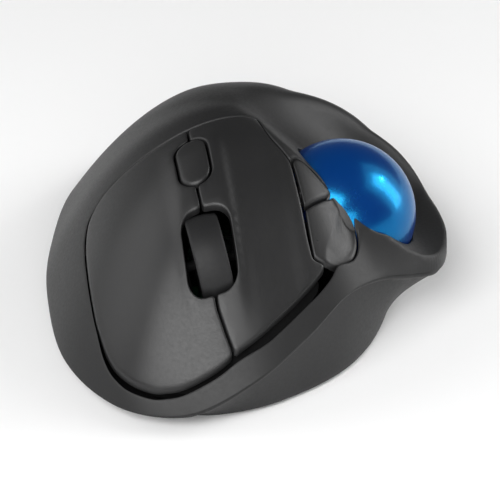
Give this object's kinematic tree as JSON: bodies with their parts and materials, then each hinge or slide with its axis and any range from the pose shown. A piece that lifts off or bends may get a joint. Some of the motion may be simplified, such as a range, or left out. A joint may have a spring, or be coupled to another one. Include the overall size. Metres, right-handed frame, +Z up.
{
  "type": "trackball mouse",
  "caption": "Right-hand wireless trackball mouse with a thumb-operated ball, click plates, a scroll wheel and side keys.",
  "frame": {"origin": "centre of the bounding box at the height the feet stand on", "axes": "+Y towards the front (button) edge, +Z up, +X towards the little finger; the thumb and ball are on -X"},
  "size_m": [0.0931, 0.1215, 0.0461],
  "materials": {
    "casing_plastic": "fine-textured charcoal matte",
    "key_plastic": "smooth charcoal satin",
    "inner_plastic": "black moulded plastic",
    "wheel_rubber": "dark soft rubber",
    "ball_resin": "metallic blue under a clear gloss coat",
    "bearing_ceramic": "polished white",
    "zinc_steel": "plated",
    "circuit_board": "green solder mask",
    "switch_plastic": "moulded black",
    "sensor_lens": "clear moulded",
    "battery_jacket": "printed sleeve",
    "foot_slip_plastic": "low-friction black"
  },
  "bodies": {
    "casing": {"bottom_case": "casing_plastic", "top_shell": "casing_plastic", "button_frame": "inner_plastic", "ball_socket": "inner_plastic", "bearing_1": "bearing_ceramic", "bearing_2": "bearing_ceramic", "bearing_3": "bearing_ceramic", "sensor_lens": "sensor_lens", "sensor_module": "circuit_board", "main_pcb": "circuit_board", "left_switch": "switch_plastic", "right_switch": "switch_plastic", "middle_switch": "switch_plastic", "dpi_switch": "switch_plastic", "back_switch": "switch_plastic", "forward_switch": "switch_plastic", "battery": "battery_jacket", "battery_cradle": "inner_plastic", "battery_contact": "zinc_steel", "battery_spring": "zinc_steel", "receiver_tray": "inner_plastic", "usb_receiver": "switch_plastic", "foot_front_left": "foot_slip_plastic", "foot_front_right": "foot_slip_plastic", "foot_side": "foot_slip_plastic", "foot_rear_right": "foot_slip_plastic", "foot_rear_left": "foot_slip_plastic", "screw_side": "zinc_steel", "screw_rear_right": "zinc_steel", "screw_rear_left": "zinc_steel", "screw_front": "zinc_steel"},
    "left_plate": {"left_button": "key_plastic"},
    "right_plate": {"right_button": "key_plastic"},
    "dpi_key": {"dpi_button": "key_plastic"},
    "back_key": {"back_button": "key_plastic"},
    "forward_key": {"forward_button": "key_plastic"},
    "wheel_module": {"wheel_carrier": "inner_plastic", "wheel_encoder": "switch_plastic"},
    "wheel": {"wheel_hub": "inner_plastic", "wheel_tyre": "wheel_rubber", "wheel_axle": "inner_plastic"},
    "ball": {"trackball": "ball_resin"},
    "slider": {"power_slider": "foot_slip_plastic"},
    "door": {"battery_door": "casing_plastic"}
  },
  "joints": [
    {"name": "ball_roll", "type": "hinge", "parent": "casing", "child": "ball", "pos_m": [-0.0214, 0.0163, 0.024], "axis": [-0.7015, 0, -0.7127], "continuous": true},
    {"name": "wheel_press", "type": "slide", "parent": "casing", "child": "wheel_module", "axis": [-0.1736, 0, -0.9848], "range_m": [0, 0.0004], "stiffness_N_per_m": 1800},
    {"name": "wheel_scroll", "type": "hinge", "parent": "wheel_module", "child": "wheel", "pos_m": [0.0116, 0.0342, 0.0262], "axis": [0.9848, 0, -0.1736], "continuous": true},
    {"name": "left_click", "type": "hinge", "parent": "casing", "child": "left_plate", "pos_m": [0.004, 0.0075, 0.0435], "axis": [-1, 0, 0], "range_deg": [0, 0.8], "stiffness_Nm_per_rad": 1.7},
    {"name": "right_click", "type": "hinge", "parent": "casing", "child": "right_plate", "pos_m": [0.022, 0.0065, 0.036], "axis": [-1, 0, 0], "range_deg": [0, 0.8], "stiffness_Nm_per_rad": 1.7},
    {"name": "dpi_click", "type": "slide", "parent": "casing", "child": "dpi_key", "axis": [0, 0, -1], "range_m": [0, 0.0004], "stiffness_N_per_m": 1800},
    {"name": "back_click", "type": "slide", "parent": "casing", "child": "back_key", "axis": [0.35, 0, -0.9367], "range_m": [0, 0.0004], "stiffness_N_per_m": 1800},
    {"name": "forward_click", "type": "slide", "parent": "casing", "child": "forward_key", "axis": [0.35, 0, -0.9367], "range_m": [0, 0.0004], "stiffness_N_per_m": 1800},
    {"name": "power_slide", "type": "slide", "parent": "casing", "child": "slider", "axis": [1, 0, 0], "range_m": [0, 0.0025]},
    {"name": "door_slide", "type": "slide", "parent": "casing", "child": "door", "axis": [0, -1, 0], "range_m": [0, 0.012]}
  ]
}
